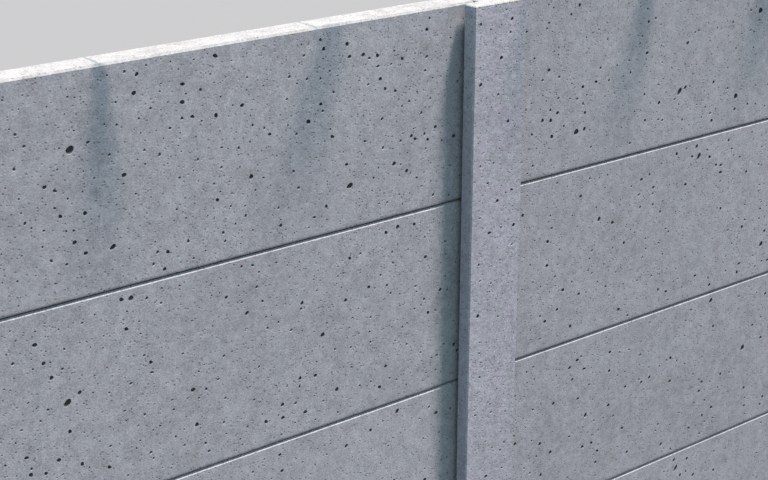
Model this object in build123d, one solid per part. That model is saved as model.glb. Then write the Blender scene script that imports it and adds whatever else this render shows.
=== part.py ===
from build123d import *
import os

# Concrete panel fence: smooth panels stacked in the slots of upright posts.
# Lengths are in millimetres. +X runs along the fence, +Z is up and the front faces -Y.
# The origin is the centre of the middle post's foot, at ground level.

# Extent of the fence
bay_count = 4
row_count = 6

# Panel
panel_length = 1830.0
panel_height = 300.0
panel_thickness = 45.0
panel_arris = 3.0

# Slotted post. Each slot widens from its root to its mouth, so that the post leaves its mould.
web_thickness = 44.0
slot_depth = 28.0
slot_draft = 1.5
lip_thickness = 25.5
post_arris = 2.0
mouth_arris = 1.5
top_arris = 1.5

# Clearances of a panel in its slots
front_gap = 6.0
end_gap = 4.0

# Worked out from the sizes above
root_width = panel_thickness + front_gap
mouth_width = root_width + 2 * slot_draft
post_width = web_thickness + 2 * slot_depth
post_depth = root_width + 2 * lip_thickness
post_height = row_count * panel_height
bay_pitch = web_thickness + 2 * end_gap + panel_length
origin_post = bay_count // 2

# A panel stands in its slots with the ends of its back against the slope of the rear lips
rear_seat = root_width / 2 + slot_draft * end_gap / slot_depth
panel_middle = rear_seat - panel_thickness / 2


def lip_corners(section, outer):
    """Corners at the tips of the lips: the outer ones, or else those at the mouths of the slots."""
    slot_middle = (web_thickness + slot_depth) / 2
    lip_middle = (mouth_width + post_depth) / 4
    tips = section.vertices().filter_by(lambda corner: abs(corner.X) > slot_middle)
    return tips.filter_by(lambda corner: (abs(corner.Y) > lip_middle) == outer)


def post_section():
    """The H-shaped outline of a post, seen from above, with its sharp corners taken off."""
    slot = Polygon(
        (web_thickness / 2, root_width / 2),
        (web_thickness / 2, -root_width / 2),
        (post_width / 2, -mouth_width / 2),
        (post_width / 2, mouth_width / 2),
        align=None,
    )
    section = Rectangle(post_width, post_depth) - slot - mirror(slot, Plane.YZ)
    section = chamfer(lip_corners(section, outer=True), post_arris)
    return chamfer(lip_corners(section, outer=False), mouth_arris)


def make_post():
    """One post with its foot on the origin: the outline raised, and the edges of its top eased."""
    post = extrude(post_section(), post_height)
    top_face = post.faces().sort_by(Axis.Z)[-1]
    return chamfer(top_face.edges(), top_arris)


def make_panel():
    """One panel standing on its lower edge, with a small chamfer along its four long edges."""
    middle_of_foot = (Align.CENTER, Align.CENTER, Align.MIN)
    panel = Box(panel_length, panel_thickness, panel_height, align=middle_of_foot)
    return chamfer(panel.edges().filter_by(Axis.X), panel_arris)


def save(shape, node):
    """Write one sub-part to its own file, named after its node."""
    shape.label = node
    export_step(shape, f"parts/{node}.step")


os.makedirs("parts", exist_ok=True)

# Posts, one more than there are bays, with the origin under the middle one
post = make_post()
for post_index in range(bay_count + 1):
    post_x = (post_index - origin_post) * bay_pitch
    save(Pos(post_x, 0, 0) * post, f"post_{post_index + 1}")

# Panels, counted up from the ground, each standing on the one below and against the rear lips
panel = make_panel()
for bay_index in range(bay_count):
    bay_x = (bay_index - origin_post + 0.5) * bay_pitch
    for row_index in range(row_count):
        place = Pos(bay_x, panel_middle, row_index * panel_height)
        save(place * panel, f"bay_{bay_index + 1}_panel_{row_index + 1}")
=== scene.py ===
# %% [markdown]
# # A concrete panel fence
# Smooth concrete panels stand one on another in the slots of upright posts. The shapes are plain,
# so the whole look lies in the concrete: its greys, its sandy grain, and the round holes that air
# bubbles left against the mould. This lesson makes the holes as real hollows with Geometry Nodes,
# and the grain and the stains with shader maths. Lengths are in metres, +X runs along the fence
# and +Z is up.

# %% Load the fence
import math
import random

import bmesh
import bpy
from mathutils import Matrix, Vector


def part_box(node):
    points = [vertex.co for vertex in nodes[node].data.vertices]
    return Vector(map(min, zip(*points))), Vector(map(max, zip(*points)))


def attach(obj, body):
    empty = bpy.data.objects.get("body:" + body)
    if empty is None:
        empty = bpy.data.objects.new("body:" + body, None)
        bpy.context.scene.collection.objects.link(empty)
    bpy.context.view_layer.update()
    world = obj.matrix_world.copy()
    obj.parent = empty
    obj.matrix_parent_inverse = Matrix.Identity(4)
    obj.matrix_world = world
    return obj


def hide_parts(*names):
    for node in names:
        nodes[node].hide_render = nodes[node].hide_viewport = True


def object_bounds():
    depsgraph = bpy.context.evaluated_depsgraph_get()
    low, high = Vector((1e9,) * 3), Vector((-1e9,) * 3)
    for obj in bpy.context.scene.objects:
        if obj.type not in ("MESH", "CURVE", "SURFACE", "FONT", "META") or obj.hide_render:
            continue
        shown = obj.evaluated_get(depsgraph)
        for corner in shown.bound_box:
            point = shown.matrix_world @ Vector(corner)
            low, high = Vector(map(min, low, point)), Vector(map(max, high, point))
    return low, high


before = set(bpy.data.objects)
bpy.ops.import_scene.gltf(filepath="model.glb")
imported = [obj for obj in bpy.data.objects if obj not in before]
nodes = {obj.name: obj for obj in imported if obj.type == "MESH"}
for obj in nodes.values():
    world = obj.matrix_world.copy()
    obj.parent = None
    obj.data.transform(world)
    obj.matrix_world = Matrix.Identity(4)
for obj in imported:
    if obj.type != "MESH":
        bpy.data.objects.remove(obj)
cad_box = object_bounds()
posts = sorted(name for name in nodes if name.startswith("post_"))
panels = sorted(name for name in nodes if name.startswith("bay_"))
box_size = [round(size, 3) for size in cad_box[1] - cad_box[0]]
print(len(posts), "posts and", len(panels), "panels, box", box_size)

# %% [markdown]
# The sizes that the finishes need are measured on the fence itself, so that they follow it. The
# post at the origin carries the two bays that the picture looks at.

# %% Measure the pieces
post_low, post_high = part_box("post_3")
panel_low, panel_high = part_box("bay_3_panel_6")
fence_top = post_high.z
panel_height = panel_high.z - panel_low.z
bay_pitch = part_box("post_4")[0].x - post_low.x
panel_front = panel_low.y
sizes = [round(size, 3) for size in (panel_height, bay_pitch, fence_top)]
print("panel height, bay and top", sizes)

# %% [markdown]
# The camera stands in front of the left bay, a little above the fence, and looks down along it to
# the right. Its place and its two angles are set as numbers: a camera that tracks a target would
# also turn when the target moves. A long lens keeps the joints of the panels nearly parallel.

# %% Place the camera
camera_place = (-1.4922, -1.7079, 2.2712)
camera_turn = math.radians(-37.654)
camera_dip = math.radians(20.60)
camera_lens = 73.38
film_width = 36.0
upright = math.radians(90)

camera_data = bpy.data.cameras.new("camera")
camera_data.sensor_width = film_width
camera_data.lens = camera_lens
camera = bpy.data.objects.new("camera", camera_data)
camera.location = camera_place
camera.rotation_euler = (upright - camera_dip, 0, camera_turn)
bpy.context.scene.collection.objects.link(camera)
bpy.context.scene.camera = camera
bpy.context.scene.view_settings.view_transform = "Standard"
print("camera", camera_place, "lens", camera_lens)

# %% [markdown]
# Node trees are easier to read as sums than as a list of links. A `Bench` wraps a tree and adds
# any node: its kind, its settings, then what its inputs get. Both kinds of tree in this lesson, of
# materials and of geometry, are built with it.


# %% Make a bench for nodes
def pick(sockets, key):
    """The socket at a place in the list, or the first one in use that has this name."""
    if isinstance(key, int):
        return sockets[key]
    return next(socket for socket in sockets if socket.name == key and socket.enabled)


class Bench:
    """A node tree, to which one method adds any node."""

    def __init__(self, tree):
        self.tree = tree

    def add(self, kind, settings=None, inputs=None):
        """Adds a node and returns its first output in use. A list links several feeds at once."""
        node = self.tree.nodes.new(kind)
        for name, value in (settings or {}).items():
            setattr(node, name, value)
        for key, value in (inputs or {}).items():
            socket = pick(node.inputs, key)
            for part in value if isinstance(value, list) else [value]:
                if isinstance(part, Feed):
                    self.tree.links.new(part.socket, socket)
                else:
                    socket.default_value = part
        outputs = [socket for socket in node.outputs if socket.enabled]
        return Feed(self, outputs[0]) if outputs else None


print("bench ready")

# %% [markdown]
# A `Feed` stands for one output of a node, which can feed others. Adding or multiplying feeds adds
# Math nodes to their tree, also when a plain number comes first. The four methods at the end are
# named for what they do to the value that the feed carries.


# %% Make feeds that add up
class Feed:
    """One output of a node. Sums written with feeds add Math nodes to the same tree."""

    def __init__(self, bench, socket):
        self.bench = bench
        self.socket = socket

    def out(self, name):
        """Another output of the same node."""
        return Feed(self.bench, pick(self.socket.node.outputs, name))

    def maths(self, operation, *values):
        return self.bench.add("ShaderNodeMath", {"operation": operation}, dict(enumerate(values)))

    def __add__(self, other):
        return self.maths("ADD", self, other)

    def __radd__(self, other):
        return self.maths("ADD", other, self)

    def __sub__(self, other):
        return self.maths("SUBTRACT", self, other)

    def __rsub__(self, other):
        return self.maths("SUBTRACT", other, self)

    def __mul__(self, other):
        return self.maths("MULTIPLY", self, other)

    def __rmul__(self, other):
        return self.maths("MULTIPLY", other, self)

    def __truediv__(self, other):
        return self.maths("DIVIDE", self, other)

    def __pow__(self, other):
        return self.maths("POWER", self, other)

    def __gt__(self, other):
        return self.maths("GREATER_THAN", self, other)

    def __lt__(self, other):
        return self.maths("LESS_THAN", self, other)

    def floor(self):
        return self.maths("FLOOR", self)

    def size(self):
        return self.maths("ABSOLUTE", self)

    def sine(self):
        return self.maths("SINE", self)

    def fade(self, low, high, start=0.0, end=1.0):
        """Goes smoothly from start, where this feed is at low, to end, where it is at high."""
        inputs = {"Value": self, "From Min": low, "From Max": high, "To Min": start, "To Max": end}
        return self.bench.add("ShaderNodeMapRange", {"interpolation_type": "SMOOTHSTEP"}, inputs)


print("feeds ready")

# %% [markdown]
# ## The air holes
# Wet concrete traps air against its mould, and each bubble leaves a bowl in the finished face.
# Most are a few millimetres wide, and a few are as wide as a fingertip. Bump alone would leave the
# face flat in the mesh, so the larger bubbles are real hollows. A few bowls are modelled by
# formula, and Geometry Nodes scatter them. A bowl has its rim at height 0 and a half width of 1,
# and it records how far inside it a point lies, which the finish reads to darken it with dirt and
# painted shade. Small bowls get few corners and record less, because a shallow bowl holds less
# dirt and less shade.

# %% Model a few bowls
bowl_shapes = 5
rim_oval = 0.08
rim_corner = 0.05


def bowl(name, corners, rings, seed):
    """A bowl with an uneven rim. Each ring is (share of the rim, depth, how far inside it is)."""
    chance = random.Random(seed)
    first, second = chance.uniform(0, math.tau), chance.uniform(0, math.tau)
    points, inside = [], []
    for share, depth, hollow in rings:
        for corner in range(corners):
            angle = math.tau * corner / corners
            oval = rim_oval * math.sin(2 * angle + first)
            reach = share * (1 + oval + rim_corner * math.sin(3 * angle + second))
            points.append((reach * math.cos(angle), reach * math.sin(angle), -depth))
            inside.append(hollow)
    points.append((0.0, 0.0, -1.0))
    inside.append(rings[-1][2])
    faces = []
    for ring in range(len(rings) - 1):
        for corner in range(corners):
            near, after = ring * corners + corner, ring * corners + (corner + 1) % corners
            faces.append((near, after, after + corners, near + corners))
    last = (len(rings) - 1) * corners
    for corner in range(corners):
        faces.append((last + corner, last + (corner + 1) % corners, len(points) - 1))
    mesh = bpy.data.meshes.new(name)
    mesh.from_pydata(points, [], faces)
    mesh.attributes.new("hollow", "FLOAT", "POINT").data.foreach_set("value", inside)
    return bpy.data.objects.new(name, mesh)


def bowls(name, corners, rings):
    """A collection of bowls that differ in their rims."""
    made = bpy.data.collections.new(name)
    for seed in range(bowl_shapes):
        made.objects.link(bowl(f"{name}_{seed}", corners, rings, seed))
    return made


small_bowls = bowls("small_bowls", 6, ((1.0, 0.0, 0.0), (0.74, 0.6, 0.36)))
large_bowls = bowls("large_bowls", 14, ((1.0, 0.0, 0.0), (0.84, 0.28, 0.7), (0.56, 0.8, 1.0)))

# %% [markdown]
# Geometry trees share a few steps: naming the inputs, drawing a random value, reading or storing
# a number on each point, and shading a surface flat or smooth. Each step gets a short function.


# %% Helpers for geometry trees
def named_inputs(tree, inputs):
    """Adds inputs to a tree, each with its kind, and one geometry output."""
    for name, kind in inputs.items():
        tree.interface.new_socket(name, in_out="INPUT", socket_type=kind)
    tree.interface.new_socket("Geometry", in_out="OUTPUT", socket_type="NodeSocketGeometry")
    bench = Bench(tree)
    entry = bench.add("NodeGroupInput")
    return bench, entry


def random_value(bench, low, high, seed, kind="FLOAT"):
    inputs = {"Min": low, "Max": high, "Seed": seed}
    return bench.add("FunctionNodeRandomValue", {"data_type": kind}, inputs)


def read(bench, name):
    return bench.add("GeometryNodeInputNamedAttribute", {"data_type": "FLOAT"}, {"Name": name})


def store(bench, geometry, name, value):
    settings = {"data_type": "FLOAT", "domain": "POINT"}
    inputs = {0: geometry, "Name": name, "Value": value}
    return bench.add("GeometryNodeStoreNamedAttribute", settings, inputs)


def vector(bench, x, y, z):
    return bench.add("ShaderNodeCombineXYZ", inputs={0: x, 1: y, 2: z})


def shade(bench, geometry, smooth):
    inputs = {"Geometry": geometry, "Shade Smooth": smooth}
    return bench.add("GeometryNodeSetShadeSmooth", inputs=inputs)


print("geometry helpers ready")

# %% [markdown]
# The holes of one flat sheet start as points. They are scattered at a least distance, so that no
# two rims can cross, and thinned by a soft noise, because bubbles gather in patches. Widths follow
# a power of a random number: many small holes and few large ones. Listed holes join them, where
# they lie on this sheet, and push the random ones aside.

# %% Scatter the holes of a sheet
hole_gap = 0.0084
hole_margin = 0.0085
hole_widths = (0.0029, 0.0073)
width_power = 2.8
slimmest = 0.72
placed_clear = 0.0135
grid_step = 0.03
patch_scale = 9.0
patch_from, patch_full = 0.3, 0.62
patch_thinning = 0.35


def placed_points(bench, entry, spot):
    """The listed holes that lie on this sheet."""
    placed = bench.add("GeometryNodeObjectInfo", inputs={"Object": entry.out("Placed")})
    placed = bench.add("GeometryNodeTransform", inputs={
        "Geometry": placed.out("Geometry"),
        "Translation": vector(bench, 0 - entry.out("Offset X"), 0 - entry.out("Offset Y"), 0.0),
    })
    parts = bench.add("ShaderNodeSeparateXYZ", inputs={"Vector": spot})
    beside = parts.out("X").size() > entry.out("Width") / 2
    beside = beside + (parts.out("Y").size() > entry.out("Height") / 2)
    return bench.add("GeometryNodeDeleteGeometry", inputs={"Geometry": placed, "Selection": beside})


def scatter(bench, entry, seed):
    """Points for the holes of one sheet, each with its width, length and turn."""
    width, height = entry.out("Width") - 2 * hole_margin, entry.out("Height") - 2 * hole_margin
    grid = bench.add("GeometryNodeMeshGrid", inputs={
        "Size X": width, "Size Y": height,
        "Vertices X": width / grid_step + 2, "Vertices Y": height / grid_step + 2,
    })
    spot = bench.add("GeometryNodeInputPosition")
    crowd = bench.add("ShaderNodeTexNoise", {"noise_dimensions": "4D"}, {
        "Vector": spot, "W": seed * 3.7, "Scale": patch_scale, "Detail": 1.0,
    })
    points = bench.add("GeometryNodeDistributePointsOnFaces", {"distribute_method": "POISSON"}, {
        "Mesh": grid, "Distance Min": hole_gap, "Density Max": entry.out("Density"),
        "Density Factor": crowd.fade(patch_from, patch_full, patch_thinning, 1.0), "Seed": seed,
    })
    chance = random_value(bench, 0.0, 1.0, seed + 1)
    wide = hole_widths[0] + (hole_widths[1] - hole_widths[0]) * chance ** width_power
    points = store(bench, points, "length", wide)
    points = store(bench, points, "width", wide * random_value(bench, slimmest, 1.0, seed + 2))
    points = store(bench, points, "turn", random_value(bench, 0.0, math.tau, seed + 3))
    placed = placed_points(bench, entry, spot)
    near = bench.add("GeometryNodeProximity", {"target_element": "POINTS"}, {"Geometry": placed})
    crowded = (near.out("Distance") < placed_clear) * near.out("Is Valid")
    points = bench.add("GeometryNodeDeleteGeometry", inputs={
        "Geometry": points, "Selection": crowded,
    })
    placed = bench.add("GeometryNodeMeshToPoints", inputs={"Mesh": placed})
    return bench.add("GeometryNodeJoinGeometry", inputs={"Geometry": [points, placed]})


print("holes from", hole_widths[0], "to", hole_widths[1], "wide, at least", hole_gap, "apart")

# %% [markdown]
# Each point then gets a bowl, stretched to its length and width and turned. Depth is a share of
# length and width together, drawn for each hole. A wide hole gets a bowl with more corners, since
# its rim shows.

# %% Set bowls on the points
large_from = 0.0052
depth_share = (0.15, 0.26)


def instance_bowls(bench, points, collection, large, seed):
    """Bowls on those points whose holes are large, or on those whose holes are small."""
    width, length = read(bench, "width"), read(bench, "length")
    depth = (width + length) * random_value(bench, *depth_share, seed + 5)
    shapes = bench.add("GeometryNodeCollectionInfo", inputs={
        "Collection": collection, "Separate Children": True, "Reset Children": True,
    })
    chosen = (width > large_from) if large else 1 - (width > large_from)
    bowls_there = bench.add("GeometryNodeInstanceOnPoints", inputs={
        "Points": points, "Selection": chosen, "Instance": shapes, "Pick Instance": True,
        "Instance Index": random_value(bench, 0, bowl_shapes - 1, seed + 4, "INT"),
        "Rotation": vector(bench, 0.0, 0.0, read(bench, "turn")),
        "Scale": vector(bench, length / 2, width / 2, depth),
    })
    return bench.add("GeometryNodeRealizeInstances", inputs={"Geometry": bowls_there})


print("depth", depth_share, "of length and width together")

# %% [markdown]
# The first tree makes one flat sheet of concrete with its holes, lying on the ground plane and
# facing up. The rims of all bowls and the sheet's outline go to Fill Curve, which makes the flat
# skin between them, and merging closes the seams.

# %% Tree for a sheet with holes
merge_distance = 0.00001


def sheet_tree():
    tree = bpy.data.node_groups.new("holed_sheet", "GeometryNodeTree")
    bench, entry = named_inputs(tree, {
        "Width": "NodeSocketFloat", "Height": "NodeSocketFloat", "Density": "NodeSocketFloat",
        "Seed": "NodeSocketInt", "Placed": "NodeSocketObject", "Offset X": "NodeSocketFloat",
        "Offset Y": "NodeSocketFloat",
    })
    seed = entry.out("Seed") * 10
    points = scatter(bench, entry, seed)
    small = instance_bowls(bench, points, small_bowls, False, seed)
    large = instance_bowls(bench, points, large_bowls, True, seed)
    holes = bench.add("GeometryNodeJoinGeometry", inputs={"Geometry": [small, large]})
    on_rim = bench.add("FunctionNodeCompare", {"data_type": "INT", "operation": "EQUAL"}, {
        "A": bench.add("GeometryNodeInputMeshEdgeNeighbors"), "B": 1,
    })
    rims = bench.add("GeometryNodeMeshToCurve", inputs={"Mesh": holes, "Selection": on_rim})
    outline = bench.add("GeometryNodeCurvePrimitiveQuadrilateral", inputs={
        "Width": entry.out("Width"), "Height": entry.out("Height"),
    })
    edges = bench.add("GeometryNodeJoinGeometry", inputs={"Geometry": [rims, outline]})
    skin = bench.add("GeometryNodeFillCurve", {"mode": "TRIANGLES"}, {"Curve": edges})
    skin = store(bench, shade(bench, skin, False), "hollow", 0.0)
    whole = bench.add("GeometryNodeJoinGeometry", inputs={
        "Geometry": [skin, shade(bench, holes, True)],
    })
    closed = bench.add("GeometryNodeMergeByDistance", inputs={
        "Geometry": whole, "Distance": merge_distance,
    })
    bench.add("NodeGroupOutput", inputs={"Geometry": closed})
    return tree


holed_sheet = sheet_tree()
print("sheet tree has", len(holed_sheet.nodes), "nodes")

# %% [markdown]
# The second tree dresses one piece. It gets the piece without the skins of its front and back,
# makes both skins with the first tree, stands them up in their places and merges all three. Each
# skin is laid from three sheets, along the piece, because the time that Fill Curve takes grows
# with the square of its holes. Every sheet has a seed of its own. Panels and posts each get one
# such tree, because their sheets lie side by side or one above another.

# %% Tree for a whole piece
layouts = {"panel": (3, 1), "post": (1, 3)}
seeds_a_side = 10
half_turn = math.radians(180)


def piece_tree(name, columns, rows):
    tree = bpy.data.node_groups.new(name, "GeometryNodeTree")
    bench, entry = named_inputs(tree, {
        "Geometry": "NodeSocketGeometry", "Width": "NodeSocketFloat", "Height": "NodeSocketFloat",
        "Middle X": "NodeSocketFloat", "Middle Z": "NodeSocketFloat", "Front": "NodeSocketFloat",
        "Back": "NodeSocketFloat", "Front Density": "NodeSocketFloat",
        "Back Density": "NodeSocketFloat", "Seed": "NodeSocketInt", "Placed": "NodeSocketObject",
        "Nothing Placed": "NodeSocketObject", "Material": "NodeSocketMaterial",
    })
    width, height = entry.out("Width"), entry.out("Height")
    parts = [shade(bench, entry.out("Geometry"), False)]
    sides = (("Front", 0.0, "Placed", 0), ("Back", half_turn, "Nothing Placed", seeds_a_side))
    for side, turn, placed, first in sides:
        sheets = []
        for place in range(columns * rows):
            offset_x = width * ((place % columns + 0.5) / columns - 0.5)
            offset_y = height * ((place // columns + 0.5) / rows - 0.5)
            sheet = bench.add("GeometryNodeGroup", {"node_tree": holed_sheet}, {
                "Width": width / columns, "Height": height / rows,
                "Density": entry.out(side + " Density"), "Placed": entry.out(placed),
                "Seed": entry.out("Seed") * (2 * seeds_a_side) + first + place,
                "Offset X": offset_x, "Offset Y": offset_y,
            })
            sheets.append(bench.add("GeometryNodeTransform", inputs={
                "Geometry": sheet, "Translation": vector(bench, offset_x, offset_y, 0.0),
            }))
        skin = bench.add("GeometryNodeJoinGeometry", inputs={"Geometry": sheets})
        middle = vector(bench, entry.out("Middle X"), entry.out(side), entry.out("Middle Z"))
        parts.append(bench.add("GeometryNodeTransform", inputs={
            "Geometry": skin, "Rotation": (upright, 0.0, turn), "Translation": middle,
        }))
    whole = bench.add("GeometryNodeJoinGeometry", inputs={"Geometry": parts})
    whole = bench.add("GeometryNodeMergeByDistance", inputs={
        "Geometry": whole, "Distance": merge_distance,
    })
    whole = bench.add("GeometryNodeRealizeInstances", inputs={"Geometry": whole})
    whole = bench.add("GeometryNodeSetMaterial", inputs={
        "Geometry": whole, "Material": entry.out("Material"),
    })
    bench.add("NodeGroupOutput", inputs={"Geometry": whole})
    return tree


piece_trees = {kind: piece_tree("cast_" + kind, *layout) for kind, layout in layouts.items()}
print("piece trees", [(tree.name, len(tree.nodes)) for tree in piece_trees.values()])

# %% [markdown]
# ## The finish
# The concrete is a matt bluish grey. Its tone wanders in several sizes: whole pieces differ a
# little, clouds a hand wide come from the mix, and grains of sand show all over. Bubbles too small
# to model are dots in bump, and darker dots in colour, painted shade and dirt inside them. These
# short functions add the patterns that it is made of.


# %% Parts of the finish
def new_finish(name):
    """A material with an empty tree, and the bench for it."""
    material = bpy.data.materials.new(name)
    material.use_nodes = True
    material.node_tree.nodes.clear()
    return material, Bench(material.node_tree)


def noise(bench, place, scale, detail=2.0, piece=0.0, roughness=0.5):
    """Random values about 0 with lumps about 1 / scale metres apart."""
    inputs = {
        "Vector": place, "W": piece, "Scale": scale, "Detail": detail, "Roughness": roughness,
    }
    return bench.add("ShaderNodeTexNoise", {"noise_dimensions": "4D"}, inputs) - 0.5


def stretch(bench, place, factors):
    """The place with each coordinate multiplied, so that a pattern gets long or flat."""
    return bench.add("ShaderNodeVectorMath", {"operation": "MULTIPLY"}, {0: place, 1: factors})


def dots(bench, place, scale, share, radius):
    """Dots, 1 in the middle and 0 outside. Radius is a part of the pattern's step."""
    cells = bench.add("ShaderNodeTexVoronoi", inputs={"Vector": place, "Scale": scale})
    chance = bench.add("ShaderNodeSeparateColor", inputs={"Color": cells.out("Color")})
    return cells.out("Distance").fade(radius * 0.5, radius, 1.0, 0.0) * (chance < share)


def tint(bench, colour, brightness):
    """A colour times a number."""
    inputs = {0: colour, "Scale": brightness}
    return bench.add("ShaderNodeVectorMath", {"operation": "SCALE"}, inputs)


def blend(bench, share, colour, other, kind="MIX"):
    """Goes from one colour to another, or to their product where the kind is MULTIPLY."""
    settings = {"data_type": "RGBA", "blend_type": kind}
    return bench.add("ShaderNodeMix", settings, {"Factor": share, "A": colour, "B": other})


print("finish helpers ready")

# %% [markdown]
# Painted shadow streaks start at the top edge of the fence about every 32 cm. They are the shadows
# of a coil of barbed wire above the fence, which is not built, painted into the colour. Each is
# narrow and dark at the top edge, leans a little to the left, and gets wide and faint lower down.
# One rule makes them all: the place along the fence is counted in steps, and the distance to the
# nearest mark gives its profile. Sines of the step's number, which never fall into a short rhythm,
# move the marks aside, lean them, widen them and weaken them, each in its own way. On the flat top
# a mark is one thin line, the painted shadow of the wire across it.

# %% Painted shadow streaks
mark_first = 0.020
mark_pitch = 0.3235
mark_shift = 0.033
mark_lean = 0.18
lean_change = 0.12
mark_width = 0.017
width_change = 0.008
mark_spread = 0.14
mark_core, mark_rim = 0.2, 1.5
mark_strength, strength_change = 0.7, 0.3
fading_from, mark_end = 0.04, 0.33
wobble_scale, edge_wobble = 22.0, 0.016
front_zone = 0.006
line_core, line_rim = 0.0012, 0.0032
top_skin = 0.001


def painted_shadow_streaks(bench, place, across, depth, height):
    """How dark the painted shadow streaks make the concrete, from 0 to 1."""
    down = fence_top - height
    wobble = noise(bench, place, wobble_scale, 2.0) * edge_wobble
    step = ((across + mark_lean * down - mark_first) / mark_pitch + 0.5).floor()
    start = mark_first + step * mark_pitch
    lean = mark_lean + lean_change * (2.7 * step + 4.2).sine()
    shift = mark_shift * (step + 2.0).sine()
    aside = (across + lean * down + wobble - start - shift).size()
    width = mark_width + width_change * (2.5 * step + 3.7).sine() + mark_spread * down
    profile = (aside / width).fade(mark_core, mark_rim, 1.0, 0.0)
    strength = mark_strength + strength_change * (1.9 * step + 5.0).sine()
    fading = down.fade(fading_from, mark_end, 1.0, 0.0)
    in_front = 1 - (depth > panel_front + front_zone)
    line = (across - start + 0.3 * wobble).size().fade(line_core, line_rim, 1.0, 0.0)
    on_top = (1 - (depth < panel_front)) * (down < top_skin) * line
    return profile * fading * in_front * strength + on_top


print("marks every", mark_pitch)

# %% [markdown]
# The brightness of the concrete is a sum of noises, from clouds to sand, less the dots. Each piece
# gets its own clouds, because a pattern that ran on across a joint would turn the fence into one
# painted wall. So the number of the piece is worked out from the place, and is the fourth
# coordinate of the noise. The factors in the number only keep its values apart.

# %% Brightness of the concrete
own_contrast = 0.04
cloud_scale, cloud_contrast = 3.5, 0.22
mottle_scale, mottle_contrast = 26.0, 0.28
lump_scale, lump_contrast = 62.0, 1.1
grain_scale = 420.0
dot_scale, dot_contrast = 280.0, 0.33


def piece_number(across, height, is_post):
    """A number of its own for each piece, from its place along the fence and its row."""
    if is_post:
        return (across / bay_pitch + 0.5).floor() * 3.1
    return (across / bay_pitch).floor() * 7.3 + (height / panel_height).floor() * 2.9


def brightness_of(bench, place, piece, sand):
    """The brightness about 1, and the three patterns in it that the relief reads too."""
    own_tone = bench.add("ShaderNodeTexWhiteNoise", {"noise_dimensions": "1D"}, {
        "W": piece + 0.5,
    }) - 0.5
    clouds = noise(bench, place, cloud_scale, 2.0, piece)
    mottles = noise(bench, place, mottle_scale, 2.0, piece)
    lumps = noise(bench, place, lump_scale, 3.0, piece, 1.0)
    grain = noise(bench, place, grain_scale, 2.0, piece, 0.7)
    # The dots darken the colour: painted shade and dirt in the smallest holes.
    specks = dots(bench, place, dot_scale, 0.1, 0.5)
    brightness = 1 + own_contrast * own_tone + cloud_contrast * clouds
    brightness = brightness + mottle_contrast * mottles + lump_contrast * lumps
    brightness = brightness + sand * grain * (1 + 2 * clouds)
    return brightness * (1 - dot_contrast * specks), mottles, grain, specks


print("clouds", cloud_contrast, "mottles", mottle_contrast, "lumps", lump_contrast)

# %% [markdown]
# Three changes of tone follow the pieces. A post is a little lighter beside its left edge: painted
# light on its left arris and its left side. A panel is almost black in the last millimetres above
# the joint below it, with grime and painted shade in the joint, and a little darker up to about
# 16 mm above it. Each bay was cast from a batch of its own.

# %% Tones that follow the pieces
# A post's left arris and left side get painted light.
edge_from, edge_full, edge_light_lift = 0.042, 0.046, 0.03
joint_shift = 0.0004
# The dark band above a joint is grime and painted shade.
grime_and_shade_height, joint_black, joint_clean = 0.0078, 0.02, 0.96
haze_from, haze_height, haze_lift = 0.006, 0.016, 0.04
batch_mean, batch_change = 0.967, 0.035


def painted_edge_light(across):
    """How much painted light a post gets beside its left edge."""
    edge = (across / bay_pitch + 0.5).floor() * bay_pitch - across
    return 1 + edge_light_lift * edge.fade(edge_from, edge_full)


def joint_tone(height):
    """Grime and painted shade above the joint. The shift keeps its top face out of the next joint.
    """
    rows_below = ((height - joint_shift) / panel_height).floor()
    above_joint = height - rows_below * panel_height
    grime_and_shade = above_joint.fade(0.0, grime_and_shade_height, joint_black, joint_clean)
    return grime_and_shade + above_joint.fade(haze_from, haze_height, 0.0, haze_lift)


def batch_tone(across):
    """The tone of the batch of concrete that a bay was cast from."""
    return batch_mean + batch_change * (2.6 * (across / bay_pitch).floor() + 3.85).sine()


print("joints every", round(panel_height, 3), "batches every", round(bay_pitch, 3))

# %% [markdown]
# One function makes both concretes. The post was cast in another mould: it is lighter, and its
# skin is rougher, with low flat ripples. Colour is tone times brightness, then dirt and painted
# shade in the hollows, then the painted shadow streaks. The tone drifts a little between purple
# and green, and the flat top is painted a little darker and less blue, against the strong warm
# light that falls on it. Height for the bump is the sum of ripples and sand, less the dots.

# %% Make the two concretes
# Colour deep in the holes: dirt and painted shade.
pit_dirt_and_shade = (0.068, 0.071, 0.080, 1.0)
# Tint of the painted shadow streaks, the shadows of a wire that is not built.
streak_shadow_tint = (0.56, 0.66, 0.71, 1.0)
# Tone of the flat top, painted darker and less blue against the strong light on it.
painted_top_tone = (0.276, 0.2885, 0.297, 1.0)
painted_top_depth = 0.0031
drift_scale, drift_reach = 40.0, 0.2
dirt_and_shade_full = 0.5
ripple_scale = 130.0
grain_height, dot_depth = 0.6, 0.8
bump_height = 0.0004
base_roughness = 0.92
shine = 0.2


def drifting_colour(bench, place, piece, tone, hue):
    """The tone, with patches a little more purple and patches a little greener."""
    red, green, blue = tone
    drift = noise(bench, place, drift_scale, 2.0, piece + 1.7).fade(-drift_reach, drift_reach)
    purplish = (red * (1 + hue), green * (1 - hue), blue * (1 + hue), 1.0)
    greenish = (red * (1 - hue), green * (1 + hue), blue * (1 - hue), 1.0)
    return blend(bench, drift, purplish, greenish)


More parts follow.
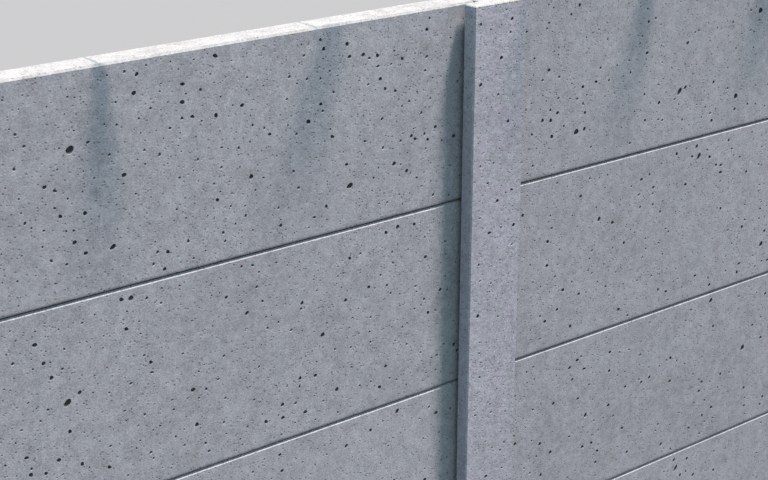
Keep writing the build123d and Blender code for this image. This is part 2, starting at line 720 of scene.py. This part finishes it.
def concrete(name, tone, is_post, sand, ripple, hue):
    """Cast concrete of one tone. Sand is its grain's contrast, and ripple its skin's height."""
    material, bench = new_finish(name)
    place = bench.add("ShaderNodeTexCoord").out("Object")
    parts = bench.add("ShaderNodeSeparateXYZ", inputs={"Vector": place})
    across, depth, height = parts.out("X"), parts.out("Y"), parts.out("Z")
    piece = piece_number(across, height, is_post)
    brightness, mottles, grain, specks = brightness_of(bench, place, piece, sand)
    if is_post:
        # Painted light along the post's left edge.
        brightness = brightness * painted_edge_light(across)
    else:
        # Grime and painted shade above each joint, and the tone of each bay's batch.
        brightness = brightness * joint_tone(height) * batch_tone(across)
    colour = drifting_colour(bench, place, piece, tone, hue)
    # The flat top is painted a little darker and less blue, against the strong warm light.
    colour = blend(bench, height > fence_top - painted_top_depth, colour, painted_top_tone)
    colour = tint(bench, colour, brightness)
    hollow = bench.add("ShaderNodeAttribute", {"attribute_name": "hollow"}).out("Fac")
    # Dirt and painted shade in the hollows of the holes.
    colour = blend(bench, hollow.fade(0.0, dirt_and_shade_full), colour, pit_dirt_and_shade)
    # The painted shadow streaks darken the colour and make it a little less rough.
    streak_shade = painted_shadow_streaks(bench, place, across, depth, height)
    colour = blend(bench, streak_shade, colour, streak_shadow_tint, "MULTIPLY")
    ripples = noise(bench, stretch(bench, place, (0.8, 0.8, 1.0)), ripple_scale, 2.0, piece)
    bump = bench.add("ShaderNodeBump", inputs={
        "Strength": 1.0, "Distance": bump_height,
        "Height": ripple * ripples + grain_height * grain - dot_depth * specks,
    })
    shader = bench.add("ShaderNodeBsdfPrincipled", inputs={
        "Base Color": colour, "Roughness": base_roughness - 0.15 * streak_shade + 0.08 * mottles,
        "Normal": bump, "Specular IOR Level": shine,
    })
    bench.add("ShaderNodeOutputMaterial", inputs={"Surface": shader})
    return material


panel_concrete = concrete("cast_panel", (0.294, 0.306, 0.346), False, 1.25, 0.4, 0.002)
post_concrete = concrete("cast_post", (0.3095, 0.3185, 0.374), True, 1.35, 1.2, 0.013)
print("materials", panel_concrete.name, post_concrete.name)

# %% [markdown]
# ## Listed holes
# The largest holes on the two bays in the picture catch the eye, so they are set down one by one:
# how far along the fence from the middle post, how far below the panel's top edge, length, width,
# and turn in degrees. All the others are random.

# %% List the large holes
large_holes = {
    "bay_2_panel_6": (
        (-0.676, 0.101, 0.012, 0.011, 40), (-0.250, 0.235, 0.011, 0.009, 20),
        (-0.626, 0.240, 0.010, 0.007, 30), (-0.463, 0.015, 0.008, 0.006, 140),
        (-0.191, 0.190, 0.006, 0.005, 70), (-0.349, 0.061, 0.006, 0.005, 60),
        (-0.651, 0.096, 0.006, 0.005, 20), (-0.487, 0.056, 0.006, 0.005, 90),
        (-0.562, 0.262, 0.006, 0.005, 60), (-0.569, 0.277, 0.006, 0.005, 60),
    ),
    "bay_3_panel_6": (
        (0.428, 0.210, 0.016, 0.008, 55), (0.193, 0.237, 0.012, 0.009, 30),
        (0.572, 0.242, 0.011, 0.009, 70), (0.619, 0.100, 0.012, 0.010, 60),
        (0.514, 0.275, 0.007, 0.006, 60), (0.509, 0.261, 0.006, 0.005, 60),
        (0.594, 0.096, 0.006, 0.005, 50), (0.135, 0.191, 0.006, 0.005, 60),
        (0.102, 0.275, 0.006, 0.005, 60),
    ),
    "bay_2_panel_5": (
        (-0.705, 0.137, 0.013, 0.009, 35), (-0.605, 0.016, 0.009, 0.007, 30),
        (-0.301, 0.151, 0.009, 0.007, 30), (-0.164, 0.016, 0.008, 0.006, 60),
        (-0.498, 0.275, 0.006, 0.005, 60), (-0.503, 0.261, 0.006, 0.005, 60),
    ),
    "bay_3_panel_5": (
        (0.488, 0.034, 0.014, 0.008, 55), (0.676, 0.237, 0.011, 0.009, 60),
        (0.481, 0.015, 0.008, 0.006, 60), (0.254, 0.096, 0.009, 0.007, 60),
        (0.618, 0.191, 0.007, 0.006, 60), (0.583, 0.267, 0.006, 0.005, 60),
    ),
    "bay_2_panel_4": ((-0.164, 0.016, 0.009, 0.007, 60),),
    "bay_3_panel_4": (
        (0.649, 0.136, 0.013, 0.009, 50), (0.549, 0.016, 0.010, 0.008, 60),
        (0.245, 0.150, 0.009, 0.007, 60), (0.442, 0.270, 0.008, 0.006, 60),
        (0.400, 0.124, 0.007, 0.006, 60), (0.140, 0.171, 0.007, 0.006, 60),
    ),
    "bay_3_panel_3": (
        (0.487, 0.034, 0.014, 0.008, 55), (0.481, 0.015, 0.008, 0.006, 60),
        (0.501, 0.053, 0.007, 0.006, 60),
    ),
}
print("large holes", sum(len(holes) for holes in large_holes.values()))

# %% [markdown]
# A piece is prepared outside the tree. A copy of it is merged into one clean shell, is cut where
# its sheets will meet, and loses the skins of its front and back.


# %% Open the shell of a piece
def skin(shell, depth, side):
    """The faces at this depth that look to one side: -1 is the front and 1 the back."""
    return [
        face for face in shell.faces
        if face.normal.y * side > 0.99 and abs(face.calc_center_median().y - depth) < merge_distance
    ]


def open_shell(name, columns, rows):
    """A merged and cut copy of a piece without its front and back, and the front's corners."""
    shell = bmesh.new()
    shell.from_mesh(nodes[name].data)
    bmesh.ops.remove_doubles(shell, verts=shell.verts, dist=merge_distance)
    low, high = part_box(name)
    corners = [vertex.co.copy() for face in skin(shell, low.y, -1) for vertex in face.verts]
    skin_low = Vector((min(c.x for c in corners), low.y, min(c.z for c in corners)))
    skin_high = Vector((max(c.x for c in corners), high.y, max(c.z for c in corners)))
    for count, normal in ((columns, (1, 0, 0)), (rows, (0, 0, 1))):
        for step in range(1, count):
            geometry = shell.verts[:] + shell.edges[:] + shell.faces[:]
            place = skin_low.lerp(skin_high, step / count)
            bmesh.ops.bisect_plane(shell, geom=geometry, plane_co=place, plane_no=normal)
    both = skin(shell, low.y, -1) + skin(shell, high.y, 1)
    bmesh.ops.delete(shell, geom=both, context="FACES")
    mesh = bpy.data.meshes.new(name + "_cast")
    shell.to_mesh(mesh)
    shell.free()
    return mesh, skin_low, skin_high


print("shells ready to open")

# %% [markdown]
# The opened shell gets the tree as a modifier. Its inputs are set before it is first evaluated,
# each by the identifier of its socket. Evaluating it turns the result into a plain mesh, and the
# modifier goes.


# %% Tell how a piece is cast
def placed_holes(name, middle_x, middle_z, top):
    """The listed holes on a piece, as the points of a mesh in the skin's own frame."""
    holes = large_holes.get(name, ())
    mesh = bpy.data.meshes.new(name + "_holes")
    spots = [(x - middle_x, top - below - middle_z, 0.0) for x, below, *_ in holes]
    mesh.from_pydata(spots, [], [])
    for index, attribute in enumerate(("length", "width", "turn"), start=2):
        in_degrees = attribute == "turn"
        values = [math.radians(hole[index]) if in_degrees else hole[index] for hole in holes]
        mesh.attributes.new(attribute, "FLOAT", "POINT").data.foreach_set("value", values)
    return bpy.data.objects.new(name + "_holes", mesh)


def cast(name, kind, seed, material, front_density, back_density):
    """One finished piece in place of a node."""
    mesh, low, high = open_shell(name, *layouts[kind])
    piece = bpy.data.objects.new(name + "_cast", mesh)
    bpy.context.scene.collection.objects.link(piece)
    middle_x, middle_z = (low.x + high.x) / 2, (low.z + high.z) / 2
    modifier = piece.modifiers.new("cast", "NODES")
    modifier.node_group = piece_trees[kind]
    sockets = piece_trees[kind].interface.items_tree
    keys = {socket.name: socket.identifier for socket in sockets if socket.in_out == "INPUT"}
    values = {
        "Width": high.x - low.x, "Height": high.z - low.z, "Middle X": middle_x,
        "Middle Z": middle_z, "Front": low.y, "Back": high.y, "Front Density": front_density,
        "Back Density": back_density, "Seed": seed, "Material": material,
        "Placed": placed_holes(name, middle_x, middle_z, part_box(name)[1].z),
        "Nothing Placed": nothing_placed,
    }
    for key, value in values.items():
        modifier[keys[key]] = value
    depsgraph = bpy.context.evaluated_depsgraph_get()
    made = bpy.data.meshes.new_from_object(
        piece.evaluated_get(depsgraph), preserve_all_data_layers=True, depsgraph=depsgraph
    )
    piece.modifiers.clear()
    piece.data = made
    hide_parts(name)
    return piece


nothing_placed = bpy.data.objects.new("no_holes", bpy.data.meshes.new("no_holes"))
print("large holes by hand on", len(large_holes), "panels")

# %% [markdown]
# Now every panel and post is cast. The front lay against the mould, so it is full of holes. The
# back was the open side of the mould and was floated flat, so it has far fewer. Each piece has a
# seed of its own, and gets its concrete as its material.

# %% Cast every piece
finishes = {"panel": panel_concrete, "post": post_concrete}
densities = {"panel": (2400.0, 300.0), "post": (2500.0, 700.0)}

triangles = 0
for index, name in enumerate(panels + posts):
    is_post = name in posts
    kind = "post" if is_post else "panel"
    piece = cast(name, kind, index + 1, finishes[kind], *densities[kind])
    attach(piece, "root")
    count = sum(len(face.vertices) - 2 for face in piece.data.polygons)
    triangles += count
    if index % 6 == 0:
        print(piece.name, count, "triangles")
print("all pieces", triangles, "triangles")

# %% [markdown]
# ## The studio
# A plain pale floor carries the fence. To the camera, and in a reflection, it is a mid grey with a
# little light of its own, so that the shadow on it stays soft. To all other rays it is a darker
# floor, so that it throws no glare up into the shaded sides.

# %% Lay the floor
floor_radius = 90.0
floor_shown = (0.108, 0.114, 0.119, 1.0)
floor_glow = (0.27, 0.27, 0.275, 1.0)
floor_quiet = (0.08, 0.08, 0.08, 1.0)


def shows(bench):
    """1 for the rays that show a surface, straight, by reflection or through glass, and else 0."""
    path = bench.add("ShaderNodeLightPath")
    straight = path.maths("MAXIMUM", path.out("Is Camera Ray"), path.out("Is Glossy Ray"))
    return path.maths("MAXIMUM", straight, path.out("Is Transmission Ray"))


def floor_finish():
    material, bench = new_finish("floor")
    seen = shows(bench)
    shown = bench.add("ShaderNodeBsdfDiffuse", inputs={"Color": floor_shown})
    glow = bench.add("ShaderNodeEmission", inputs={"Color": floor_glow, "Strength": 1.0})
    shown = bench.add("ShaderNodeAddShader", inputs={0: shown, 1: glow})
    quiet = bench.add("ShaderNodeBsdfDiffuse", inputs={"Color": floor_quiet})
    mixed = bench.add("ShaderNodeMixShader", inputs={0: seen, 1: quiet, 2: shown})
    bench.add("ShaderNodeOutputMaterial", inputs={"Surface": mixed})
    return material


bpy.ops.mesh.primitive_circle_add(vertices=96, radius=floor_radius, fill_type="NGON")
floor = bpy.context.object
floor.name = "floor"
floor.data.materials.append(floor_finish())
print("floor", floor_radius)

# %% [markdown]
# The main lamp stands high in front, to the right. It only grazes the front, which is why every
# pit and grain of sand shows, and why a post throws a narrow shadow on the panel to its left. Its
# angle gives that shadow a soft edge. A wide low lamp behind the fence lifts its back.

# %% Set the lamps
sun_from = Vector((1.17, -1.0, 4.4))
back_from = Vector((0.0, 1.0, 0.14))


def lamp(name, towards, strength, colour, angle):
    data = bpy.data.lights.new(name, "SUN")
    data.energy = strength
    data.color = colour
    data.angle = math.radians(angle)
    made = bpy.data.objects.new(name, data)
    made.rotation_euler = towards.to_track_quat("Z", "Y").to_euler()
    bpy.context.scene.collection.objects.link(made)
    return made


sun = lamp("sun", sun_from, strength=8.8, colour=(1.0, 0.855, 0.803), angle=8.5)
back_light = lamp("back_light", back_from, strength=2.0, colour=(1.0, 0.84, 0.78), angle=50.0)
print("lamps", sun.name, back_light.name)

# %% [markdown]
# The world fills the shadows with bluish light, as a clear sky does. Where the camera looks past
# the floor, it sees a plain pale grey instead.

# %% Light the shadows
sky_fill = (0.517, 0.735, 0.795, 1.0)
sky_shown = (0.64, 0.64, 0.65, 1.0)

world = bpy.data.worlds.new("world")
bpy.context.scene.world = world
world.use_nodes = True
world.node_tree.nodes.clear()
sky = Bench(world.node_tree)
seen = shows(sky)
fill = sky.add("ShaderNodeBackground", inputs={"Color": sky_fill, "Strength": 1.0})
shown = sky.add("ShaderNodeBackground", inputs={"Color": sky_shown, "Strength": 1.0})
mixed = sky.add("ShaderNodeMixShader", inputs={0: seen, 1: fill, 2: shown})
sky.add("ShaderNodeOutputWorld", inputs={"Surface": mixed})
print("world nodes", len(world.node_tree.nodes))
